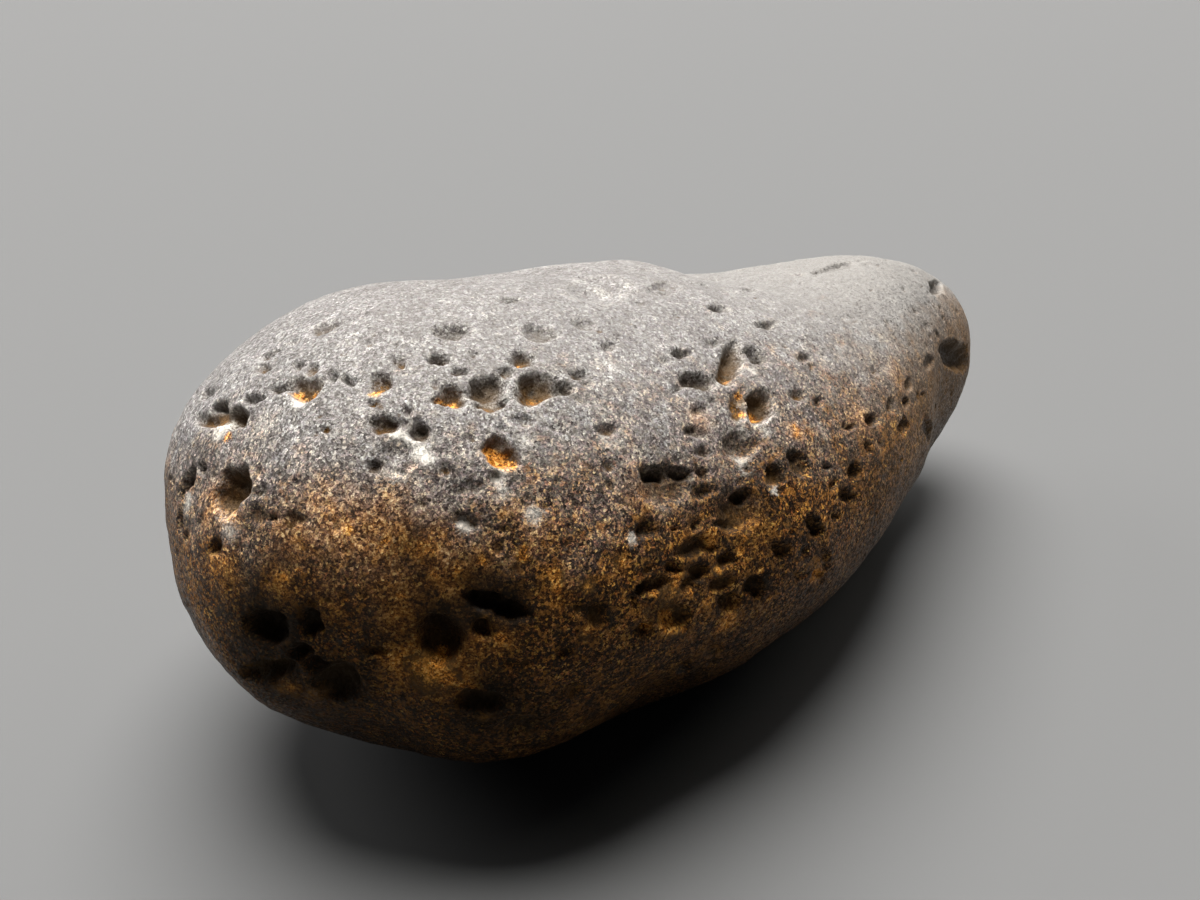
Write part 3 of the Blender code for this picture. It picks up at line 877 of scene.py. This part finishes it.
# the glass
glass = {
    "grain": 7.5,            # grains a millimetre
    "fineGrain": 15.0,
    "brownGrains": [         # position, colour
        (0.00, (0.004, 0.002, 0.001, 1)),
        (0.32, (0.015, 0.006, 0.002, 1)),
        (0.48, (0.058, 0.023, 0.004, 1)),
        (0.62, (0.245, 0.110, 0.018, 1)),
        (0.78, (0.640, 0.345, 0.068, 1)),
        (1.00, (0.900, 0.700, 0.320, 1)),
    ],
    "greyGrains": [
        (0.00, (0.040, 0.030, 0.024, 1)),
        (0.30, (0.095, 0.083, 0.077, 1)),
        (0.50, (0.170, 0.162, 0.161, 1)),
        (0.66, (0.275, 0.268, 0.264, 1)),
        (0.82, (0.480, 0.470, 0.450, 1)),
        (1.00, (0.900, 0.880, 0.830, 1)),
    ],
    "haze": (0.175, 0.173, 0.170, 1),        # calms the grains where the frosting and painted sheen are strongest
    "tailBrown": (0.150, 0.090, 0.042, 1),   # what the grains blend into on the tail
    "tailGrey": (0.200, 0.190, 0.176, 1),
    "tints": [               # each grain's own cast
        (0.00, (1.00, 0.66, 0.66, 1)),
        (0.25, (1.00, 0.84, 0.96, 1)),
        (0.50, (1.00, 0.97, 0.90, 1)),
        (0.75, (0.92, 1.00, 0.86, 1)),
        (1.00, (1.00, 0.82, 0.50, 1)),
    ],
    "pitWalls": [            # painted shade on pit walls, darkest where a pit holds no clay, browner where it holds more
        (0.00, (0.012, 0.007, 0.004, 1)),
        (0.15, (0.042, 0.027, 0.013, 1)),
        (1.00, (0.095, 0.052, 0.016, 1)),
    ],
    "clay": [                # from a thin smear to a thick crumb
        (0.10, (0.045, 0.024, 0.009, 1)),
        (0.45, (0.075, 0.037, 0.010, 1)),
        (0.70, (0.200, 0.088, 0.017, 1)),
        (0.85, (0.520, 0.240, 0.045, 1)),
        (1.00, (0.850, 0.430, 0.080, 1)),
    ],
    "frostAndHighlightColor": (0.74, 0.70, 0.62, 1),
    "gold": (0.300, 0.125, 0.022, 1),
    "goldGrains": [
        (0.18, (0.030, 0.010, 0.002, 1)),
        (0.36, (0.160, 0.048, 0.006, 1)),
        (0.52, (0.460, 0.155, 0.018, 1)),
        (0.70, (0.880, 0.360, 0.050, 1)),
        (0.90, (0.960, 0.590, 0.170, 1)),
    ],
    # the colour of soot, also the colour of the painted shadow in the stains
    "sootAndShadow": (0.009, 0.006, 0.004, 1),
    "glintColor": (1.0, 0.88, 0.68, 1),
    "roughness": 0.34,
    "refraction": 1.5,
    "specular": 0.20,
    "grainMiddle": (0.5, 0.5, 0.5),   # of a grain's chance colour, which also gives its lean
    "tilt": 0.55,            # how far each grain leans
    "fineTilt": 0.6,
    "bump": 0.00006,
    "darkening": -0.42,      # taken off the grains' lightness
    "browning": -0.45,       # taken off the measure of frosting and painted sheen
    "leastTint": 0.30,
    "leastClay": 0.55,
    "crumbMiddle": -0.5,     # brings the middle of the crumb noise to nought
    "noises": {              # scale (a millimetre), detail, roughness
        "stain": (0.35, 4, 0.62),
        "blotch": (1.3, 4, 0.65),
        "crumb": (9.0, 3, 0.7),
        "broadPatch": (0.2, 3, 0.6),
        "patch": (0.8, 3, 0.6),
        "goldFlecks": (1.7, 4, 0.65),
        "sootFlecks": (1.1, 4, 0.6),
        "goldPatches": (1.6, 4, 0.65),
        "clayPatches": (2.2, 4, 0.7),
    },
    "masks": {               # position, how much shows there
        "grey": [(0.34, 0), (0.84, 1)],          # by how squarely a face looks to the frosted side, painted paler also for the sheen of the light from behind
        "haze": [(0.62, 0), (0.95, 0.40)],
        "goldFlecks": [(0.62, 0), (0.74, 1)],
        "sootFlecks": [(0.40, 1), (0.52, 0)],
        "tail": [(0.52, 0), (0.78, 0.70)],       # by the share of the body's length
        "goldPatches": [(0.34, 0.25), (0.58, 1)],
        "farSide": [(0.0, 0), (0.55, 0.72)],
        "underShade": [(0.04, 0.09), (0.28, 0.40), (0.50, 0.95)],
        "clayPatches": [(0.40, 0.15), (0.54, 1)],
        "clay": [(0.05, 0), (0.35, 1)],
        "crumbs": [(0.20, 0), (0.55, 1)],
        "crumbCore": [(0.05, 0), (0.40, 1)],
        "frostAndHighlight": [(0.15, 0), (0.50, 1)],
        "lip": [(0.45, 0), (0.60, 1)],
    },
    "shares": {              # how much each noise or mark counts
        "grain": 0.44,
        "fineGrain": 0.36,
        "stain": 0.42,
        "blotch": 0.55,
        "broadPatch": 0.5,
        "patch": 0.4,
        "tint": 0.65,
        "fineTint": 0.6,
        "goldFlecks": 0.22,
        "goldCover": 0.8,
        "sootFlecks": 0.12,
        "sootCover": 0.7,
        "sootAndShadowStain": 0.92,
        "goldBlotch": 0.4,
        "pitWall": 0.85,
        "clayPatches": 0.7,
        "clayCrumb": 0.3,
        "clayThickness": 0.8,
        "crumbEdge": 1.2,
        "crumbLight": 0.35,
        "crumbCover": 0.85,
        "frostAndHighlightEdge": 1.4,
        "frostAndHighlightCover": 0.85,
        "lip": 0.5,
        "roughGrain": 0.24,
        "roughSootAndShadow": 0.4,
    },
}


def addNode(tree, kind, **inputs):
    node = tree.nodes.new(kind)
    for name, value in inputs.items():
        node.inputs[name].default_value = value
    return node


def fill(tree, socket, value):
    if isinstance(value, bpy.types.NodeSocket):
        tree.links.new(value, socket)
    else:
        socket.default_value = value


def ramp(tree, factor, stops):
    node = tree.nodes.new("ShaderNodeValToRGB")
    elements = node.color_ramp.elements
    while len(elements) < len(stops):
        elements.new(0.5)
    for element, (position, value) in zip(elements, stops):
        element.position = position
        element.color = value if isinstance(value, tuple) else (value, value, value, 1)
    tree.links.new(factor, node.inputs["Fac"])
    return node.outputs["Color"]


def mixColor(tree, factor, first, second, blend="MIX"):
    # on a colour mix the factor is socket 0, the two colours are 6 and 7 and the result is 2
    node = tree.nodes.new("ShaderNodeMix")
    node.data_type = "RGBA"
    node.blend_type = blend
    fill(tree, node.inputs[0], factor)
    fill(tree, node.inputs[6], first)
    fill(tree, node.inputs[7], second)
    return node.outputs[2]


def mathNode(tree, operation, first, second):
    node = tree.nodes.new("ShaderNodeMath")
    node.operation = operation
    fill(tree, node.inputs[0], first)
    fill(tree, node.inputs[1], second)
    return node.outputs["Value"]


def glassMaterial():
    material = bpy.data.materials.new("tektiteGlass")
    material.use_nodes = True
    tree = material.node_tree
    shader = tree.nodes["Principled BSDF"]
    coords = tree.nodes.new("ShaderNodeTexCoord")
    inMillimetres = tree.nodes.new("ShaderNodeMapping")
    inMillimetres.inputs["Scale"].default_value = (1 / mm, 1 / mm, 1 / mm)
    tree.links.new(coords.outputs["Object"], inMillimetres.inputs["Vector"])
    place = inMillimetres.outputs["Vector"]

    def noiseOf(name):
        scale, detail, rough = glass["noises"][name]
        node = addNode(tree, "ShaderNodeTexNoise", Scale=scale, Detail=detail, Roughness=rough)
        tree.links.new(place, node.inputs["Vector"])
        return node.outputs["Fac"]

    def mark(name):
        node = tree.nodes.new("ShaderNodeAttribute")
        node.attribute_name = name
        return node.outputs["Fac"]

    def times(first, second):
        return mathNode(tree, "MULTIPLY", first, second)

    def plus(first, second):
        return mathNode(tree, "ADD", first, second)

    def share(name, value):
        return times(value, glass["shares"][name])

    def masked(name, factor):
        return ramp(tree, factor, glass["masks"][name])

    # grains, each of one colour and leaning its own way
    def grains(scale):
        node = addNode(tree, "ShaderNodeTexVoronoi", Scale=scale, Randomness=1.0)
        tree.links.new(place, node.inputs["Vector"])
        return node.outputs["Color"]

    def vectorNode(operation, first, second=None):
        node = tree.nodes.new("ShaderNodeVectorMath")
        node.operation = operation
        fill(tree, node.inputs[0], first)
        if operation == "SCALE":
            fill(tree, node.inputs["Scale"], second)
        elif second is not None:
            fill(tree, node.inputs[1], second)
        return node.outputs["Vector"]

    def channels(color):
        node = tree.nodes.new("ShaderNodeSeparateColor")
        tree.links.new(color, node.inputs["Color"])
        return node.outputs

    # the speckle, brown below and grey on the frosted top, whose grey is partly painted sheen of the
    # light glancing off it
    coarse = grains(glass["grain"])
    fineGrains = grains(glass["fineGrain"])
    perGrain, perFineGrain = channels(coarse), channels(fineGrains)
    blotch = noiseOf("blotch")
    crumb = noiseOf("crumb")
    grainLight = plus(share("grain", perGrain[0]), share("fineGrain", perFineGrain[0]))
    patchLight = plus(share("stain", noiseOf("stain")), share("blotch", blotch))
    lightness = plus(plus(grainLight, patchLight), glass["darkening"])
    patches = plus(share("broadPatch", noiseOf("broadPatch")), share("patch", noiseOf("patch")))
    lying = plus(mark("frostAndSheen"), plus(patches, glass["browning"]))
    # painted sheen, together with the real frosting: grey speckle on the faces that catch the light
    # from behind
    frostAndSheenShare = masked("grey", lying)
    brown = ramp(tree, lightness, glass["brownGrains"])
    grey = ramp(tree, lightness, glass["greyGrains"])
    base = mixColor(tree, frostAndSheenShare, brown, grey)
    brownShare = mathNode(tree, "SUBTRACT", 1.0, frostAndSheenShare)
    tinted = plus(share("tint", brownShare), glass["leastTint"])
    tint = ramp(tree, perGrain[1], glass["tints"])
    fineTint = ramp(tree, perFineGrain[1], glass["tints"])
    base = mixColor(tree, tinted, base, tint, "MULTIPLY")
    base = mixColor(tree, share("fineTint", tinted), base, fineTint, "MULTIPLY")
    base = mixColor(tree, masked("haze", mark("frostAndSheen")), base, glass["haze"])

    # flecks of gold and soot in the brown, and the calmer tail
    goldFlecks = masked("goldFlecks", plus(noiseOf("goldFlecks"), share("goldFlecks", grainLight)))
    base = mixColor(tree, share("goldCover", times(goldFlecks, brownShare)), base, glass["gold"])
    sootFlecks = masked("sootFlecks", plus(noiseOf("sootFlecks"), share("sootFlecks", grainLight)))
    base = mixColor(tree, share("sootCover", times(sootFlecks, brownShare)), base, glass["sootAndShadow"])
    lengthwise = tree.nodes.new("ShaderNodeSeparateXYZ")
    tree.links.new(place, lengthwise.inputs["Vector"])
    fromFatEnd = plus(lengthwise.outputs["X"], stone["bodyLength"] / 2)
    tailward = masked("tail", times(fromFatEnd, 1 / stone["bodyLength"]))
    tailColor = mixColor(tree, frostAndSheenShare, glass["tailBrown"], glass["tailGrey"])
    base = mixColor(tree, tailward, base, tailColor)

    # sooty stains that are partly painted shadow, golden stains, the darker far side, and painted shade
    # on the underside
    # sooty stains and painted shadow: dark patches over the shaded lower front
    base = mixColor(tree, share("sootAndShadowStain", mark("sootAndShadow")), base, glass["sootAndShadow"])
    stained = times(mark("gold"), masked("goldPatches", noiseOf("goldPatches")))
    goldLight = plus(grainLight, share("goldBlotch", blotch))
    base = mixColor(tree, stained, base, ramp(tree, goldLight, glass["goldGrains"]))
    farBrown = times(masked("farSide", mark("farSide")), brownShare)
    base = mixColor(tree, farBrown, base, glass["sootAndShadow"])
    # painted shade: the underside darkened, the more the lower it faces
    base = mixColor(tree, 1.0, base, masked("underShade", mark("upward")), "MULTIPLY")

    # pits with painted shade on their walls, the clay in them, orange crumbs, and pale frosting with
    # painted highlights on the pits' lips
    # painted shade: pit walls darkened, the deeper and steeper the pit
    pitWall = ramp(tree, mark("pitWarmth"), glass["pitWalls"])
    base = mixColor(tree, share("pitWall", mark("pitWallShade")), base, pitWall)
    clayPatches = plus(share("clayPatches", noiseOf("clayPatches")), share("clayCrumb", crumb))
    clayPatches = masked("clayPatches", clayPatches)
    thickness = plus(share("clayThickness", crumb), glass["leastClay"])
    # clay, partly painted light: the orange lies on the side of each pit's floor that the light falls
    # on
    clayness = times(times(mark("pitClayAndLight"), clayPatches), thickness)
    base = mixColor(tree, masked("clay", clayness), base, ramp(tree, clayness, glass["clay"]))
    crumbly = plus(mark("crumbs"), share("crumbEdge", plus(crumb, glass["crumbMiddle"])))
    crumbly = times(masked("crumbs", crumbly), masked("crumbCore", mark("crumbs")))
    crumbLight = plus(grainLight, share("crumbLight", crumb))
    crumbColor = ramp(tree, crumbLight, glass["goldGrains"])
    base = mixColor(tree, share("crumbCover", crumbly), base, crumbColor)
    # pale frosting and painted highlights: pale spots, some on the lower lips of pits where the light
    # from behind catches them
    frostAndPaintedLight = plus(mark("frostAndHighlight"), share("frostAndHighlightEdge", plus(crumb, glass["crumbMiddle"])))
    frostAndPaintedLight = masked("frostAndHighlight", frostAndPaintedLight)
    # worn lips and painted highlight: pale colour on the raised lips of pits on the frosted side
    lipWearAndHighlight = times(masked("lip", crumb), times(share("lip", mark("pitLip")), frostAndSheenShare))
    frostedAndLit = plus(share("frostAndHighlightCover", times(mark("frostAndHighlight"), frostAndPaintedLight)), lipWearAndHighlight)
    frostedAndLit = mathNode(tree, "MINIMUM", frostedAndLit, 1.0)
    base = mixColor(tree, frostedAndLit, base, glass["frostAndHighlightColor"])
    tree.links.new(base, shader.inputs["Base Color"])

    rough = plus(share("roughGrain", perGrain[2]), glass["roughness"])
    rough = plus(rough, share("roughSootAndShadow", mark("sootAndShadow")))
    tree.links.new(rough, shader.inputs["Roughness"])
    shader.inputs["IOR"].default_value = glass["refraction"]
    shader.inputs["Specular IOR Level"].default_value = glass["specular"]
    shader.inputs["Specular Tint"].default_value = glass["glintColor"]

    # every grain leans its own way
    middle = glass["grainMiddle"]
    fineLean = vectorNode("SCALE", vectorNode("SUBTRACT", fineGrains, middle), glass["fineTilt"])
    lean = vectorNode("ADD", vectorNode("SUBTRACT", coarse, middle), fineLean)
    geometry = tree.nodes.new("ShaderNodeNewGeometry")
    lean = vectorNode("SCALE", lean, glass["tilt"])
    leaning = vectorNode("ADD", geometry.outputs["Normal"], lean)
    bump = addNode(tree, "ShaderNodeBump", Strength=1.0, Distance=glass["bump"])
    tree.links.new(crumb, bump.inputs["Height"])
    tree.links.new(vectorNode("NORMALIZE", leaning), bump.inputs["Normal"])
    tree.links.new(bump.outputs["Normal"], shader.inputs["Normal"])
    return material


# the floor, the lights and the camera: metres, degrees and watts
studio = {
    "floorSize": 12.0,
    "floorColor": (0.115, 0.115, 0.114, 1),
    "floorRoughness": 0.9,
    "floorSpecular": 0.1,
    "worldColor": (0.90, 0.93, 1.00, 1),
    "worldStrength": 0.02,
    "aim": (0.0, 0.0, 0.012),
    "lights": [              # turn round the stone, height, distance, size, watts, colour
        (155.0, 68.0, 1.5, 1.45, 88.0, (1.0, 0.99, 0.98)),
        (132.0, 31.0, 1.5, 1.0, 7.8, (1.0, 0.99, 0.98)),
        (202.0, 26.0, 1.5, 1.0, 10.0, (1.0, 1.0, 1.0)),
        (90.0, 40.0, 1.5, 1.0, 4.4, (1.0, 0.96, 0.90)),
    ],
    "cameraPlace": (-0.05404, -0.05869, 0.05947),
    "cameraTurn": -40.95,
    "cameraDrop": 31.6,      # how far it looks down from level
    "lens": 50.0,            # millimetres, as is the film
    "film": 36.0,
    "clipStart": 0.005,
}


def makeFloor():
    bm = bmesh.new()
    bmesh.ops.create_grid(bm, x_segments=1, y_segments=1, size=studio["floorSize"] / 2)
    mesh = bpy.data.meshes.new("floor")
    bm.to_mesh(mesh)
    bm.free()
    material = bpy.data.materials.new("floorPaint")
    material.use_nodes = True
    shader = material.node_tree.nodes["Principled BSDF"]
    shader.inputs["Base Color"].default_value = studio["floorColor"]
    shader.inputs["Roughness"].default_value = studio["floorRoughness"]
    shader.inputs["Specular IOR Level"].default_value = studio["floorSpecular"]
    mesh.materials.append(material)
    floor = bpy.data.objects.new("floor", mesh)
    bpy.context.scene.collection.objects.link(floor)


def makeLights():
    world = bpy.data.worlds.new("softWorld")
    world.use_nodes = True
    background = world.node_tree.nodes["Background"]
    background.inputs["Color"].default_value = studio["worldColor"]
    background.inputs["Strength"].default_value = studio["worldStrength"]
    bpy.context.scene.world = world
    for number, (turn, height, distance, size, watts, color) in enumerate(studio["lights"]):
        turn, height = math.radians(turn), math.radians(height)
        flat = math.cos(height)
        place = distance * Vector((math.sin(turn) * flat, -math.cos(turn) * flat, math.sin(height)))
        lamp = bpy.data.lights.new("softLight%d" % number, "AREA")
        lamp.shape = "DISK"
        lamp.size = size
        lamp.energy = watts
        lamp.color = color
        holder = bpy.data.objects.new(lamp.name, lamp)
        holder.location = place
        holder.rotation_euler = (Vector(studio["aim"]) - place).to_track_quat("-Z", "Y").to_euler()
        bpy.context.scene.collection.objects.link(holder)
    bpy.context.scene.view_settings.view_transform = "Standard"


def makeCamera():
    camera = bpy.data.cameras.new("camera")
    camera.lens = studio["lens"]
    camera.sensor_width = studio["film"]
    camera.clip_start = studio["clipStart"]
    holder = bpy.data.objects.new("camera", camera)
    holder.location = studio["cameraPlace"]
    holder.rotation_euler = cameraAim()
    bpy.context.scene.collection.objects.link(holder)
    bpy.context.scene.camera = holder


makeFloor()
makeLights()
makeCamera()
print("stage ready")

surface = makeStone()
surface.data.materials.append(glassMaterial())
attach(surface, "root")
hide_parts("tektite")
print("stone ready")
